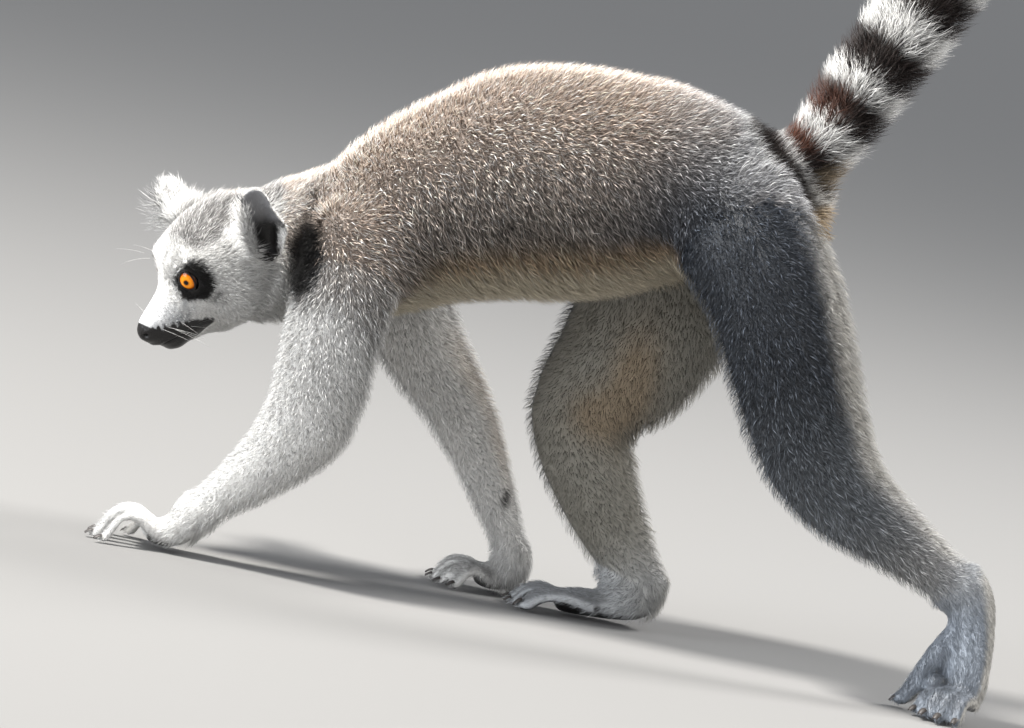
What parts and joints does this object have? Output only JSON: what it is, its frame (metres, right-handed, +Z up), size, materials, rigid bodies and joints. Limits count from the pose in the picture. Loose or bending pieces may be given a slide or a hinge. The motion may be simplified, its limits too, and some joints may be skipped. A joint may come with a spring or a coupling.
{
  "type": "ring-tailed lemur model",
  "caption": "Adult ring-tailed lemur walking on all fours, life size, head turned to its left, ringed tail raised and curled back at its tip.",
  "frame": {"origin": "middle of the footprint box, on the floor", "axes": "+Z up, head towards -Y, the animal's left side at +X"},
  "size_m": [0.1729, 0.5237, 0.813],
  "materials": {
    "grey_coat": "dense soft fur, brown-grey",
    "white_coat": "short soft fur, white to pale grey",
    "ringed_coat": "long fur in black and white rings",
    "bare_skin": "fine-grained black skin of nose, palms and soles",
    "eye": "wet and glossy, amber",
    "claw": "satin, dark"
  },
  "bodies": {
    "root": {"head": "white_coat", "neck": "grey_coat", "trunk": "grey_coat", "ear_left": "white_coat", "ear_right": "white_coat", "eye_left": "eye", "eye_right": "eye", "upper_arm_left": "grey_coat", "forearm_left": "grey_coat", "hand_left": "white_coat", "upper_arm_right": "grey_coat", "forearm_right": "grey_coat", "hand_right": "white_coat", "thigh_left": "grey_coat", "shank_left": "grey_coat", "foot_left": "white_coat", "thigh_right": "grey_coat", "shank_right": "grey_coat", "foot_right": "white_coat", "tail_1": "ringed_coat", "tail_2": "ringed_coat", "tail_3": "ringed_coat", "tail_4": "ringed_coat", "tail_5": "ringed_coat"}
  },
  "joints": []
}
